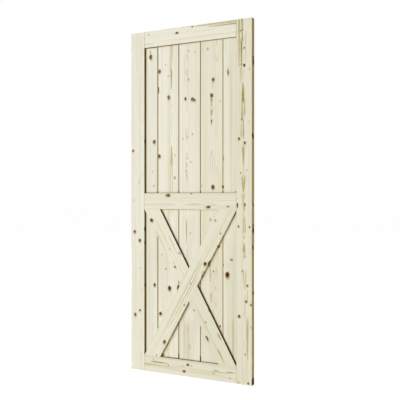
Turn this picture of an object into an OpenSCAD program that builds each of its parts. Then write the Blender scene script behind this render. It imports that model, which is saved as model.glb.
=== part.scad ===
// Sliding barn door slab in bare knotty pine.
// A stile-and-rail frame holds full-height tongue-and-groove planks in a groove.
// A middle rail and a half-height X of braces are laid on the planks, flush with the frame's face.
// Millimetres. +Z is up, the face looks along -Y, and the origin is the centre of the bottom edge.

/* [Door] */
// Width of the finished door
door_w = 838; // [740:1:920]
// Height of the finished door
door_h = 2134; // [1900:1:2400]
// Thickness of the stiles, top rail and bottom rail
door_t = 35; // [30:0.5:45]

/* [Frame boards] */
// Width of each stile
stile_w = 100; // [80:1:130]
// Height of the top rail
top_rail_h = 100; // [80:1:160]
// Height of the bottom rail
bottom_rail_h = 100; // [85:1:200]
// Radius that eases the outer long edges of the stiles
edge_r = 2; // [0.5:0.5:4]
// Bevel that eases the frame's inner edges and the long front edges of the middle rail and braces
arris = 0.8; // [0.3:0.1:2]

/* [Middle rail and braces] */
// Depth from the face of the door to the planks, and so the thickness of the middle rail and braces
face_recess = 13; // [10:0.5:16]
// Height of the middle rail
mid_rail_h = 100; // [80:1:160]
// Height of the middle rail's lower edge above the bottom of the door
mid_rail_z = 1019; // [800:1:1200]
// Width of each brace board
brace_w = 100; // [60:1:140]

/* [Planks] */
// Face width that one full plank covers, from joint to joint
plank_pitch = 151; // [130:1:180]
// Thickness of a plank
plank_t = 11; // [9:0.5:14]
// Bevel on the face side of a plank's edges: two of them make the V joint
face_bevel = 3; // [1:0.25:3.5]
// Bevel on the back of a plank's edges
back_bevel = 1.5; // [0.5:0.25:2]
// Length of the tongue
tongue_l = 6; // [4:0.5:9]
// Thickness of the tongue
tongue_t = 3; // [2:0.25:4]

/* [Joinery] */
// Depth of the panel groove round the inside of the frame
groove_d = 10; // [7:0.5:14]
// Diameter of the frame dowels
dowel_d = 12; // [8:0.5:14]
// Length of the frame dowels
dowel_l = 90; // [60:1:110]
// Wood left between a dowel and the nearest edge or groove of its rail
dowel_wall = 12; // [8:0.5:14]

/* [Screws] */
// Shank diameter of the screws that hold the middle rail and braces
screw_d = 3.5; // [3:0.25:4.5]
// Diameter of the countersunk screw head
head_d = 7; // [6:0.25:9]
// Length of each arm of the cross recess in a screw head, from end to end
recess_l = 4; // [2.5:0.25:4.5]
// Width of each arm of the cross recess
recess_w = 0.9; // [0.6:0.1:1.5]
// Depth of the cross recess
recess_d = 1.4; // [0.8:0.1:1.7]
// Wood left between a screw's point and the face of the door
screw_cover = 4; // [2:0.5:6]
// Height of each row of middle rail screws above or below the rail's centre line
screw_row = 25; // [15:1:35]
// Height of a brace's end screws from the end of the brace
screw_end = 30; // [20:1:60]

/* [Floor guide groove] */
// Width of the groove along the bottom edge
guide_w = 8; // [6:0.5:12]
// Depth of the groove along the bottom edge
guide_d = 16; // [10:0.5:20]

/* [Fits] */
// Clearance on each side of a plank or stub tenon in the panel groove, and of a tongue in its groove
side_gap = 0.15; // [0.05:0.05:0.3]
// Room left for the wood to move at the bottom of each groove
end_gap = 0.8; // [0.3:0.1:0.9]
// Gap between the shoulders of neighbouring planks, and between the crossing braces
joint_gap = 0.3; // [0.1:0.1:0.6]
// Radial clearance of a dowel or screw in its hole
hole_gap = 0.05; // [0.02:0.01:0.1]

/* [Hidden] */
$fn = 48;
// Length by which a cut runs past the face that it cuts through
slack = 1;

// Planes across the thickness
face_y = -door_t / 2;
plank_y = face_y + face_recess;
plank_back_y = plank_y + plank_t;

// The opening inside the frame, and its lower part under the middle rail
open_w = door_w - 2 * stile_w;
open_x = open_w / 2;
open_top = door_h - top_rail_h;
lower_h = mid_rail_z - bottom_rail_h;
lower_mid_z = bottom_rail_h + lower_h / 2;

// How far planks and stub tenons reach into the panel groove
seat = groove_d - end_gap;

// A brace's sloping edges start from opposite corners of the lower opening.
// brace_foot is the length of its level end cut, for a board w wide across an opening a wide and b tall.
function brace_foot(w, a, b) = w * (b * sqrt(a * a + b * b - w * w) - w * a) / (b * b - w * w);
brace_angle = atan2(lower_h, open_w - brace_foot(brace_w, open_w, lower_h));

// Plank joints, from left to right, with the outer planks ripped to fill the opening
plank_count = 5;
joint_x = [for (i = [1:plank_count - 1]) (i - plank_count / 2) * plank_pitch];

// Screw places as [x, z]
outer_plank_x = (joint_x[plank_count - 2] + open_x) / 2;
mid_plank_x = [-outer_plank_x, -plank_pitch, 0, plank_pitch, outer_plank_x];
mid_rail_mid_z = mid_rail_z + mid_rail_h / 2;
middle_screws = [for (x = mid_plank_x, side = [-1, 1]) [x, mid_rail_mid_z + side * screw_row]];
brace_end_x = (lower_h / 2 - screw_end) / tan(brace_angle);
function on_brace(x, slope) = [x, lower_mid_z + slope * x * tan(brace_angle)];
long_screws = [for (x = [-brace_end_x, -plank_pitch, 0, plank_pitch, brace_end_x]) on_brace(x, 1)];
upper_screws = [for (x = [-brace_end_x, -plank_pitch]) on_brace(x, -1)];
lower_screws = [for (x = [plank_pitch, brace_end_x]) on_brace(x, -1)];
all_screws = concat(middle_screws, long_screws, upper_screws, lower_screws);

// Dowel heights in the top and bottom rails
function dowel_heights(low, high) = [low + dowel_wall + dowel_d / 2, high - dowel_wall - dowel_d / 2];
top_dowels = dowel_heights(open_top + groove_d, door_h);
bottom_dowels = dowel_heights(guide_d, bottom_rail_h - groove_d);

pine = "#e6dfc6";
plank_pine = "#e2dabd";
brace_pine = "#e9e2cb";
dowel_beech = "#d2b48c";
zinc = "#c8c4b4";

// Cuts the two corners of a board's edge, drawn with the thickness along x and the edge at y = 0
module arris_cut() {
    for (side = [-1, 1])
        translate([side * door_t / 2, 0])
            rotate(45)
                square(arris * sqrt(2), center = true);
}

// Cross section of the left stile, with its outer edge at x = 0
module stile_section() {
    difference() {
        union() {
            translate([edge_r, face_y])
                square([stile_w - edge_r, door_t]);
            translate([0, face_y + edge_r])
                square([2 * edge_r, door_t - 2 * edge_r]);
            for (side = [-1, 1])
                translate([edge_r, side * (door_t / 2 - edge_r)])
                    circle(r = edge_r);
        }
        translate([stile_w - groove_d, plank_y - side_gap])
            square([groove_d + slack, plank_t + 2 * side_gap]);
        translate([stile_w, 0])
            rotate(90)
                arris_cut();
    }
}

// Dowels, or the holes for them, at both ends of a rail
module rail_dowels(heights, gap) {
    for (side = [-1, 1], z = heights)
        translate([side * open_x, 0, z])
            rotate([0, 90, 0])
                cylinder(d = dowel_d + 2 * gap, h = dowel_l + 2 * gap, center = true);
}

// Groove for the fin of a floor guide, along the whole bottom edge
module guide_groove() {
    translate([-door_w / 2 - slack, -guide_w / 2, -slack])
        cube([door_w + 2 * slack, guide_w, guide_d + slack]);
}

module stile() {
    difference() {
        translate([-door_w / 2, 0, 0])
            linear_extrude(height = door_h)
                stile_section();
        rail_dowels(concat(top_dowels, bottom_dowels), hole_gap);
        guide_groove();
    }
}

// Extrudes a cross section drawn as [y, z] along X, centred on x = 0
module along_x(length) {
    translate([-length / 2, 0, 0])
        rotate([90, 0, 90])
            linear_extrude(height = length)
                children();
}

// Cross section of a rail as [y, z], with the panel groove along its top edge
module rail_section(height) {
    difference() {
        translate([face_y, 0])
            square([door_t, height]);
        translate([plank_y - side_gap, height - groove_d])
            square([plank_t + 2 * side_gap, groove_d + slack]);
        translate([0, height])
            arris_cut();
    }
}

// Rail that stands between the stiles from z = 0, with a stub tenon at each end
module grooved_rail(height) {
    along_x(open_w)
        rail_section(height);
    along_x(open_w + 2 * seat)
        translate([plank_y, 0])
            square([plank_t, height - groove_d]);
}

// Cross section of a plank between two x values, with a tongue on the right and a groove on the left,
// or a plain ripped edge where the plank is the first or the last
module plank_section(left, right, first, last) {
    mid_y = (plank_y + face_bevel + plank_back_y - back_bevel) / 2;
    tongue_half = tongue_t / 2;
    slot_half = tongue_half + side_gap;
    slot_x = left + tongue_l + end_gap;
    left_edge = first
        ? [[left, plank_back_y], [left, plank_y]]
        : [
            [left + back_bevel, plank_back_y], [left, plank_back_y - back_bevel],
            [left, mid_y + slot_half], [slot_x, mid_y + slot_half],
            [slot_x, mid_y - slot_half], [left, mid_y - slot_half],
            [left, plank_y + face_bevel], [left + face_bevel, plank_y]
        ];
    right_edge = last
        ? [[right, plank_y], [right, plank_back_y]]
        : [
            [right - face_bevel, plank_y], [right, plank_y + face_bevel],
            [right, mid_y - tongue_half], [right + tongue_l, mid_y - tongue_half],
            [right + tongue_l, mid_y + tongue_half], [right, mid_y + tongue_half],
            [right, plank_back_y - back_bevel], [right - back_bevel, plank_back_y]
        ];
    polygon(concat(left_edge, right_edge));
}

module plank(i) {
    first = i == 1;
    last = i == plank_count;
    left = first ? -open_x - seat : joint_x[i - 2] + joint_gap / 2;
    right = last ? open_x + seat : joint_x[i - 1] - joint_gap / 2;
    color(plank_pine)
        difference() {
            translate([0, 0, bottom_rail_h - seat])
                linear_extrude(height = open_top - bottom_rail_h + 2 * seat)
                    plank_section(left, right, first, last);
            screw_holes(all_screws);
        }
}

// Board as thick as the face recess, centred on x = 0 with its lower edge at z = 0,
// its length along X, and its two long front edges bevelled
module face_board(length, width) {
    along_x(length)
        polygon([
            [plank_y, 0], [face_y + arris, 0], [face_y, arris],
            [face_y, width - arris], [face_y + arris, width], [plank_y, width]
        ]);
}

// Brace board long enough to cross the lower opening, sloping up to the right at the angle given
module brace_board(angle) {
    translate([0, 0, lower_mid_z])
        rotate([0, -angle, 0])
            translate([0, 0, -brace_w / 2])
                face_board(open_w + lower_h, brace_w);
}

// The lower opening, to which the ends of the braces are cut
module lower_opening() {
    translate([-open_x, face_y, bottom_rail_h])
        cube([open_w, face_recess, lower_h]);
}

// One half of the other diagonal, butted against the long brace. side is 1 above it and -1 below it
module half_brace(side) {
    reach = open_w + lower_h;
    difference() {
        intersection() {
            brace_board(-brace_angle);
            lower_opening();
        }
        translate([0, 0, lower_mid_z])
            rotate([0, -brace_angle, 0])
                translate([-reach, face_y - slack, side > 0 ? -reach : -brace_w / 2 - joint_gap])
                    cube([2 * reach, face_recess + 2 * slack, reach + brace_w / 2 + joint_gap]);
    }
}

// A countersunk screw, driven from the back of the planks towards the face, or the hole for it
module screw(gap) {
    shank_r = screw_d / 2 + gap;
    head_r = head_d / 2 + gap;
    length = plank_t + face_recess - screw_cover + gap;
    point_l = screw_d;
    rotate([90, 0, 0])
        rotate_extrude()
            polygon([
                [0, 0], [head_r, 0], [shank_r, head_r - shank_r],
                [shank_r, length - point_l], [0, length]
            ]);
}

// Cross recess in a screw head, with the head's face at y = 0
module cross_recess() {
    for (turn = [0, 90])
        rotate([0, turn, 0])
            translate([-recess_l / 2, -recess_d, -recess_w / 2])
                cube([recess_l, recess_d + slack, recess_w]);
}

module screw_holes(places) {
    for (p = places)
        translate([p[0], plank_back_y, p[1]])
            screw(hole_gap);
}

module screws(places) {
    color(zinc)
        for (p = places)
            translate([p[0], plank_back_y, p[1]])
                difference() {
                    screw(0);
                    cross_recess();
                }
}

module left_stile() {
    color(pine)
        stile();
}

module right_stile() {
    color(pine)
        mirror([1, 0, 0])
            stile();
}

module top_rail() {
    color(pine)
        difference() {
            translate([0, 0, door_h])
                mirror([0, 0, 1])
                    grooved_rail(top_rail_h);
            rail_dowels(top_dowels, hole_gap);
        }
}

module bottom_rail() {
    color(pine)
        difference() {
            grooved_rail(bottom_rail_h);
            rail_dowels(bottom_dowels, hole_gap);
            guide_groove();
        }
}

module middle_rail() {
    color(pine)
        difference() {
            translate([0, 0, mid_rail_z])
                face_board(open_w, mid_rail_h);
            screw_holes(middle_screws);
        }
}

module long_brace() {
    color(brace_pine)
        difference() {
            intersection() {
                brace_board(brace_angle);
                lower_opening();
            }
            screw_holes(long_screws);
        }
}

module upper_brace() {
    color(brace_pine)
        difference() {
            half_brace(1);
            screw_holes(upper_screws);
        }
}

module lower_brace() {
    color(brace_pine)
        difference() {
            half_brace(-1);
            screw_holes(lower_screws);
        }
}

module top_rail_dowels() {
    color(dowel_beech)
        rail_dowels(top_dowels, 0);
}

module bottom_rail_dowels() {
    color(dowel_beech)
        rail_dowels(bottom_dowels, 0);
}

left_stile();
right_stile();
top_rail();
middle_rail();
bottom_rail();
plank(1);  // plank_1
plank(2);  // plank_2
plank(3);  // plank_3
plank(4);  // plank_4
plank(5);  // plank_5
long_brace();
upper_brace();
lower_brace();
top_rail_dowels();
bottom_rail_dowels();
screws(middle_screws);  // middle_rail_screws
screws(long_screws);  // long_brace_screws
screws(upper_screws);  // upper_brace_screws
screws(lower_screws);  // lower_brace_screws
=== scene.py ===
# %% [markdown]
# # A sliding barn door in bare knotty pine
# The door is a frame of two stiles and two rails round five V-jointed planks, with a middle rail
# and a half-height X of braces laid on them. Its construction is already modelled as solids in metres,
# so this lesson adds what the solids lack: wood that was grown, sawn and sanded, board by board.

# %% Load the door
import math

import bpy
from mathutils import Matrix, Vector


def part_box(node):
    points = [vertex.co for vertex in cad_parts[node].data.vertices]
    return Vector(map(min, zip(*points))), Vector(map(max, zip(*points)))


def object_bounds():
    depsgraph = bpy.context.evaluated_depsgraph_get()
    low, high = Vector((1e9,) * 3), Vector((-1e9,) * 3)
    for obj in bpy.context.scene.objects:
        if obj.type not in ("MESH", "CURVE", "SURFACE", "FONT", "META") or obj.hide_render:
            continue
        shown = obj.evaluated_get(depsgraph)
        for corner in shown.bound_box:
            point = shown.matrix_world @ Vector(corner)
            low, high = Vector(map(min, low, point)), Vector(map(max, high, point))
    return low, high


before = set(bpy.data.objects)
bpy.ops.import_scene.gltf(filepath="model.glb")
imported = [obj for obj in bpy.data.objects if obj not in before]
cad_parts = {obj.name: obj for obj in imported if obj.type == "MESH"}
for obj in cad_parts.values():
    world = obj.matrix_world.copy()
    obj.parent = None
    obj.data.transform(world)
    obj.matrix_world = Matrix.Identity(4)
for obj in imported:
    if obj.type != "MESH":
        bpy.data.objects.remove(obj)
cad_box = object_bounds()
print("Loaded", len(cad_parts), "pieces in a box from", list(cad_box[0]), "to", list(cad_box[1]))

# %% [markdown]
# ## Camera
# The camera stands to the right of the door at about half its height, and looks almost level,
# so that the upright edges stay upright. A lens a little longer than normal keeps the door's
# far side only slightly smaller than its near side. The values were fitted to the lines of the boards.

# %% Place the camera
CAMERA_PLACE = (1.971, -3.567, 1.087)
CAMERA_YAW = math.radians(28.067)
CAMERA_PITCH = math.radians(-0.146)
LENS_MM = 60.06
SENSOR_MM = 36

scene = bpy.context.scene
camera_data = bpy.data.cameras.new("camera")
camera_data.lens = LENS_MM
camera_data.sensor_width = SENSOR_MM
camera = bpy.data.objects.new("camera", camera_data)
camera.location = CAMERA_PLACE
camera.rotation_euler = (math.pi / 2 + CAMERA_PITCH, 0, CAMERA_YAW)
scene.collection.objects.link(camera)
scene.camera = camera
scene.view_settings.view_transform = "Standard"
print("Camera at", CAMERA_PLACE, "with a lens of", LENS_MM, "mm")

# %% [markdown]
# ## Wiring helpers
# Every finish here is a network of nodes. Written out in full, each node takes four or five lines,
# so a small helper adds a node, sets its options and feeds its inputs in one call.
# An input may be a plain value or another node's output.

# %% Helper that adds nodes to a tree
NOISE_MIDDLE = (0.5, 0.5, 0.5)


class Wiring:
    """Adds nodes to one node tree."""

    def __init__(self, tree):
        self.tree = tree

    def feed(self, socket, value):
        if isinstance(value, bpy.types.NodeSocket):
            self.tree.links.new(value, socket)
        else:
            socket.default_value = value

    def add(self, kind, inputs=(), **options):
        node = self.tree.nodes.new(kind)
        for name, value in options.items():
            setattr(node, name, value)
        pairs = inputs.items() if isinstance(inputs, dict) else enumerate(inputs)
        for key, value in pairs:
            self.feed(node.inputs[key], value)
        return node

    def math(self, operation, *values):
        return self.add("ShaderNodeMath", values, operation=operation).outputs[0]

    def vector(self, operation, *values):
        node = self.add("ShaderNodeVectorMath", values, operation=operation)
        gives_number = operation in ("LENGTH", "DOT_PRODUCT")
        return node.outputs["Value" if gives_number else "Vector"]

    def split(self, vector):
        return self.add("ShaderNodeSeparateXYZ", [vector]).outputs

    def join(self, *parts):
        return self.add("ShaderNodeCombineXYZ", parts).outputs[0]

    def place_on_door(self):
        return self.add("ShaderNodeTexCoord").outputs["Object"]

    def noise(self, place, seed, detail=2.0):
        inputs = {"Vector": place, "W": seed, "Scale": 1.0, "Detail": detail}
        return self.add("ShaderNodeTexNoise", inputs, noise_dimensions="4D")

    def shake(self, place, seed):
        """Noise that pushes a point as far one way as the other."""
        return self.vector("SUBTRACT", self.noise(place, seed).outputs["Color"], NOISE_MIDDLE)

    def smooth(self, value, start, end):
        """0 at start, 1 at end, with a soft change between them."""
        inputs = {"Value": value, "From Min": start, "From Max": end}
        return self.add("ShaderNodeMapRange", inputs, interpolation_type="SMOOTHSTEP").outputs[0]

    def between(self, value, low, high):
        """Takes a value from 0 to 1 to the range from low to high."""
        return self.add("ShaderNodeMapRange", {"Value": value, "To Min": low, "To Max": high}).outputs[0]

    def choose(self, share, first, second):
        return self.add("ShaderNodeMix", {0: share, 2: first, 3: second}, data_type="FLOAT").outputs[0]

    def blend(self, share, first, second, how="MIX"):
        node = self.add("ShaderNodeMix", {0: share, 6: first, 7: second}, data_type="RGBA", blend_type=how)
        return node.outputs[2]

    def place_group(self, tree, inputs):
        node = self.add("ShaderNodeGroup", node_tree=tree)
        for name, value in inputs.items():
            self.feed(node.inputs[name], value)
        return node.outputs


print("Wiring helps with", [name for name in vars(Wiring) if not name.startswith("_")])

# %% Helper that starts a node group
SOCKET_KINDS = {1: "NodeSocketFloat", 3: "NodeSocketVector", 4: "NodeSocketColor"}
NOWHERE = (0.0, 0.0, 0.0)
WHITE = (1.0, 1.0, 1.0, 1.0)


def start_group(name, inputs, outputs):
    """Makes a node group with named sockets and returns its wiring, its inputs and its outputs."""
    tree = bpy.data.node_groups.new(name, "ShaderNodeTree")
    for in_out, sockets in (("INPUT", inputs), ("OUTPUT", outputs)):
        for socket_name, start in sockets.items():
            size = len(start) if isinstance(start, tuple) else 1
            kind = SOCKET_KINDS[size]
            socket = tree.interface.new_socket(socket_name, in_out=in_out, socket_type=kind)
            socket.default_value = start
    wiring = Wiring(tree)
    given = wiring.add("NodeGroupInput").outputs
    result = wiring.add("NodeGroupOutput").inputs
    print("Group", name, "with inputs", list(inputs), "and outputs", list(outputs))
    return wiring, given, result


print("Group sockets are of these kinds:", list(SOCKET_KINDS.values()))

# %% Helper that turns screen colours into shader colours
SCREEN_WHITE = 255
SRGB_OFFSET = 0.055
SRGB_POWER = 2.4


def srgb(red, green, blue):
    """A screen colour from 0 to 255, as the linear colour that a shader needs."""
    shares = [level / SCREEN_WHITE for level in (red, green, blue)]
    linear = [((share + SRGB_OFFSET) / (1 + SRGB_OFFSET)) ** SRGB_POWER for share in shares]
    return (*linear, 1.0)


print("Screen white is", srgb(SCREEN_WHITE, SCREEN_WHITE, SCREEN_WHITE), "to a shader")

# %% [markdown]
# ## The recess
# The planks lie in a recess, between the frame, the middle rail and the braces. The finishes need to know
# where its corners are, so its limits and the slope of the braces are read from the pieces themselves.
# A brace's edges start from opposite corners, so its level end cut takes some of the opening's width.

# %% Measure the recess and the slope of the braces
DEPTH_WAY = Vector((0, 1, 0))
BRACE_W = 0.1

face_y = cad_box[0].y
open_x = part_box("right_stile")[0].x
open_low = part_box("bottom_rail")[1].z
open_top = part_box("top_rail")[0].z
mid_low, mid_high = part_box("middle_rail")
plank_low, plank_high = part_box("plank_3")
brace_low, brace_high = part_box("long_brace")
brace_middle = (brace_low + brace_high) / 2

open_w = brace_high.x - brace_low.x
lower_h = brace_high.z - brace_low.z
diagonal = math.sqrt(open_w ** 2 + lower_h ** 2 - BRACE_W ** 2)
foot = BRACE_W * (lower_h * diagonal - BRACE_W * open_w) / (lower_h ** 2 - BRACE_W ** 2)
rising = Vector((open_w - foot, 0, lower_h)).normalized()
falling = Vector((-rising.x, 0, rising.z))
print("Recess is", round(plank_low.y - face_y, 4), "m deep, and braces rise at",
      round(math.degrees(math.atan2(rising.z, rising.x)), 2), "degrees")

# %% [markdown]
# ## Which way a board lies
# Grain follows the tree, so every board needs its own axes: across its face, through its thickness
# and along its length. This group turns a point of the door into those three distances from the
# middle of the board. It also tells the sawn edges and the end grain from the face by where they look.
# Branches leave the trunk at a slant, so the place where knots are looked up leans with the depth,
# and a little noise keeps their outlines from being perfect ovals.

# %% Group for the lay of a board
BRANCH_LEAN = (0.12, 0.0, 0.3)
KNOT_WOBBLE = 0.008
WOBBLE_SCALE = (70.0, 70.0, 45.0)
SIDE_ON = (0.3, 0.9)

lay_inputs = {"Middle": NOWHERE, "Length way": (0.0, 0.0, 1.0), "Seed": 0.0}
lay_outputs = {"Board": NOWHERE, "Branch": NOWHERE, "Edge": 0.0, "End": 0.0}
wiring, given, result = start_group("Board lay", lay_inputs, lay_outputs)
from_middle = wiring.vector("SUBTRACT", wiring.place_on_door(), given["Middle"])
width_way = wiring.vector("CROSS_PRODUCT", tuple(DEPTH_WAY), given["Length way"])
across = wiring.vector("DOT_PRODUCT", from_middle, width_way)
along = wiring.vector("DOT_PRODUCT", from_middle, given["Length way"])
depth = wiring.split(from_middle)["Y"]
board = wiring.join(across, depth, along)
wiring.feed(result["Board"], board)

lean = wiring.vector("MULTIPLY", wiring.join(depth, depth, depth), BRANCH_LEAN)
wobble = wiring.shake(wiring.vector("MULTIPLY", board, WOBBLE_SCALE), given["Seed"])
wobble = wiring.vector("MULTIPLY", wobble, (KNOT_WOBBLE, 0.0, KNOT_WOBBLE))
wiring.feed(result["Branch"], wiring.vector("ADD", wiring.vector("ADD", board, lean), wobble))

normal = wiring.add("ShaderNodeNewGeometry").outputs["Normal"]
facing_side = wiring.math("ABSOLUTE", wiring.vector("DOT_PRODUCT", normal, width_way))
facing_end = wiring.math("ABSOLUTE", wiring.vector("DOT_PRODUCT", normal, given["Length way"]))
wiring.feed(result["Edge"], wiring.smooth(facing_side, *SIDE_ON))
wiring.feed(result["End"], wiring.smooth(facing_end, *SIDE_ON))
board_lay = wiring.tree

# %% [markdown]
# ## Painted shade in the corners
# Light reaches less far into the corners of the door, so the finishes paint shade into its colour there: in
# the V joints, along the foot of each board that stands on the planks, and on the sawn edges inside the
# recess. Two groups say how deep in a corner a point is. The first is for the boards round the recess,
# whose edges get darker towards the planks.
# The painted shade is deeper on top of the rails and at the low end of each upright edge. The group also
# draws the thin line of glue and dust along which the stiles meet the rails.

# %% Helpers that measure the room round a point
def rooms_in_frame(wiring, point, spare=0.0):
    """How far a point is inside the opening of the frame, from the stiles and from the outer rails."""
    side_room = wiring.math("SUBTRACT", open_x + spare, wiring.math("ABSOLUTE", point["X"]))
    from_middle = wiring.math("ABSOLUTE", wiring.math("SUBTRACT", point["Z"], (open_low + open_top) / 2))
    end_room = wiring.math("SUBTRACT", (open_top - open_low) / 2 + spare, from_middle)
    return side_room, end_room


def room_above_rail(wiring, height):
    """How far a point is above the rail that is next below it."""
    above_middle = wiring.math("SUBTRACT", height, mid_high.z)
    above_middle = wiring.math("ADD", above_middle, wiring.math("LESS_THAN", above_middle, 0.0))
    return wiring.math("MINIMUM", above_middle, wiring.math("SUBTRACT", height, open_low))


print("The opening is", round(2 * open_x, 4), "m wide and", round(open_top - open_low, 4), "m high")

# %% Group for the edges of the recess
SNUG = 0.0005
EDGE_TILT = (0.6, 0.3)
RIM_SHADE = 0.7
LOW_END = 0.02
GLUE_LINE = (0.0015, 0.0005)
GLUE_SHADE = 0.45

wiring, given, result = start_group("Recess edge", {}, {"Shade": 0.0})
point = wiring.split(wiring.place_on_door())
facing = wiring.split(wiring.add("ShaderNodeNewGeometry").outputs["Normal"])
side_room, end_room = rooms_in_frame(wiring, point, SNUG)
inside = wiring.math("GREATER_THAN", wiring.math("MINIMUM", side_room, end_room), 0.0)
is_edge = wiring.smooth(wiring.math("ABSOLUTE", facing["Y"]), *EDGE_TILT)
# Painted shade on the sawn edges inside the recess, deeper towards the planks and at their low ends.
sunk = wiring.math("SUBTRACT", -face_y, wiring.math("ABSOLUTE", point["Y"]))
shade = wiring.between(wiring.smooth(sunk, 0.0, plank_low.y - face_y), RIM_SHADE, 1.0)
low_end = wiring.smooth(room_above_rail(wiring, point["Z"]), LOW_END, 0.0)
shade = wiring.math("ADD", shade, low_end)
shade = wiring.math("MULTIPLY", wiring.math("MULTIPLY", inside, is_edge), shade)
from_stile = wiring.math("ABSOLUTE", wiring.math("SUBTRACT", side_room, SNUG))
glue_line = wiring.math("MULTIPLY", wiring.smooth(from_stile, *GLUE_LINE), GLUE_SHADE)
wiring.feed(result["Shade"], wiring.math("MAXIMUM", shade, glue_line))
recess_edge = wiring.tree

# %% [markdown]
# The second is for the planks. Their corners lie along straight lines, so the distance to the nearest
# stile, rail or brace can be worked out, and the painted shade follows it. Beside the unbroken brace it is
# faint, a little deeper along its under side, where it stands for a soft shadow, and dark only in the nook
# on the bottom rail.
# The depth below the plank's face finds the V joints, which get painted shade inside. It is deepest at
# their low ends, on the rails, and a little of it lies along the lips of each joint, more of it on the left
# one.

# %% Start the group for the corners on the planks
FAR_ABOVE = 100.0

wiring, given, result = start_group("Plank corner", {}, {"Shade": 0.0})
place = wiring.place_on_door()
point = wiring.split(place)
on_face = wiring.math("LESS_THAN", point["Y"], (plank_low.y + plank_high.y) / 2)
above_foot = wiring.math("SUBTRACT", point["Z"], open_low)
frame_room = wiring.math("MINIMUM", *rooms_in_frame(wiring, point))
from_rail = wiring.math("ABSOLUTE", wiring.math("SUBTRACT", point["Z"], (mid_low.z + mid_high.z) / 2))
from_rail = wiring.math("SUBTRACT", from_rail, (mid_high.z - mid_low.z) / 2)

# The lines of the braces go on above the middle rail, so points up there are put far away from them.
above_braces = wiring.math("MAXIMUM", wiring.math("SUBTRACT", point["Z"], mid_low.z), 0.0)
above_braces = wiring.math("MULTIPLY", above_braces, FAR_ABOVE)
from_brace_middle = wiring.vector("SUBTRACT", place, tuple(brace_middle))
brace_sides = []
brace_rooms = []
for slope in (rising, falling):
    brace_side = wiring.vector("DOT_PRODUCT", from_brace_middle, (slope.z, 0.0, -slope.x))
    brace_room = wiring.math("SUBTRACT", wiring.math("ABSOLUTE", brace_side), BRACE_W / 2)
    brace_sides.append(brace_side)
    brace_rooms.append(wiring.math("ADD", brace_room, above_braces))
long_brace_side = brace_sides[0]
long_brace_room, short_braces_room = brace_rooms
face_room = wiring.math("MINIMUM", wiring.math("MINIMUM", frame_room, from_rail), short_braces_room)
print("Planks look out for the frame, the middle rail and", len(brace_rooms), "diagonals")

# %% Shade the corners on the planks
CORNER_REACH = 0.006
CORNER_SHADE = 0.42
SOFT_REACH = 0.015
SOFT_SHADE = 0.04
NOOK_REACH = 0.022
NOOK_SHADE = 1.0
UNDER_REACH = 0.028
UNDER_SHADE = 0.16

# Painted shade along the foot of each board on the planks, with a wider soft band of painted shade.
corner = wiring.smooth(wiring.choose(on_face, frame_room, face_room), CORNER_REACH, 0.0)
near_board = wiring.math("MINIMUM", face_room, long_brace_room)
soft = wiring.smooth(wiring.choose(on_face, frame_room, near_board), SOFT_REACH, 0.0)
corner_shade = wiring.math("MULTIPLY", corner, CORNER_SHADE)
corner_shade = wiring.math("MAXIMUM", corner_shade, wiring.math("MULTIPLY", soft, SOFT_SHADE))

# Painted shade in the nook on the bottom rail, and a painted shadow along the under side of the long brace.
in_nook = wiring.math("MAXIMUM", above_foot, long_brace_room)
nook = wiring.math("MULTIPLY", wiring.smooth(in_nook, NOOK_REACH, 0.0), on_face)
under_brace = wiring.math("MULTIPLY", wiring.math("GREATER_THAN", long_brace_side, 0.0), on_face)
under = wiring.math("MULTIPLY", wiring.smooth(long_brace_room, UNDER_REACH, 0.0), under_brace)
brace_shade = wiring.math("MULTIPLY", nook, NOOK_SHADE)
brace_shade = wiring.math("ADD", brace_shade, wiring.math("MULTIPLY", under, UNDER_SHADE))
print("Corners are shaded over", CORNER_REACH, "m")

# %% Shade the joints between the planks
PLANK_PITCH = 0.151
JOINT_REACH = 0.0046
JOINT_SIDE = 0.0015
JOINT_EDGE_SHADE = 0.22
JOINT_DEPTH = 0.0012
JOINT_SHADE = 0.15
JOINT_END_SHADE = 2.0
JOINT_END_REACH = 0.016
JOINT_END_ON_LIPS = 0.5

# Painted shade inside the V joints and along their lips.
below_face = wiring.math("SUBTRACT", point["Y"], plank_low.y)
sunk = wiring.math("MINIMUM", below_face, wiring.math("SUBTRACT", plank_high.y, point["Y"]))
joint = wiring.smooth(sunk, 0.0, JOINT_DEPTH)
from_first_joint = wiring.math("ADD", point["X"], PLANK_PITCH / 2 + JOINT_SIDE)
in_pitches = wiring.math("DIVIDE", from_first_joint, PLANK_PITCH)
from_joint = wiring.math("ABSOLUTE", wiring.math("SUBTRACT", in_pitches, wiring.math("ROUND", in_pitches)))
joint_share = JOINT_REACH / PLANK_PITCH
joint_edge = wiring.smooth(from_joint, joint_share, joint_share / 2)
joint_shade = wiring.math("MULTIPLY", joint_edge, JOINT_EDGE_SHADE)
joint_shade = wiring.math("ADD", joint_shade, wiring.math("MULTIPLY", joint, JOINT_SHADE))

# Painted shade at the low end of each joint, where the V runs under a rail.
joint_end_shade = wiring.math("ADD", joint, wiring.math("MULTIPLY", joint_edge, JOINT_END_ON_LIPS))
joint_room = wiring.choose(on_face, above_foot, room_above_rail(wiring, point["Z"]))
at_low_end = wiring.smooth(joint_room, JOINT_END_REACH, 0.0)
joint_end_shade = wiring.math("MULTIPLY", wiring.math("MULTIPLY", joint_end_shade, JOINT_END_SHADE), at_low_end)
shade = wiring.math("ADD", wiring.math("MAXIMUM", corner_shade, joint_shade), brace_shade)
wiring.feed(result["Shade"], wiring.math("ADD", shade, joint_end_shade))
plank_corner = wiring.tree
print("Joints are", PLANK_PITCH, "m apart")

# %% [markdown]
# ## Knots
# A knot is a branch that the trunk grew round. Where the saw met it there is a dark oval, a stain
# to one side of it, and rings that swing round it on both sides. One group holds one knot.
# Groups follow one another along a chain, and each passes on the nearest knot so far,
# so a board can have as many knots as the real one.

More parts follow.
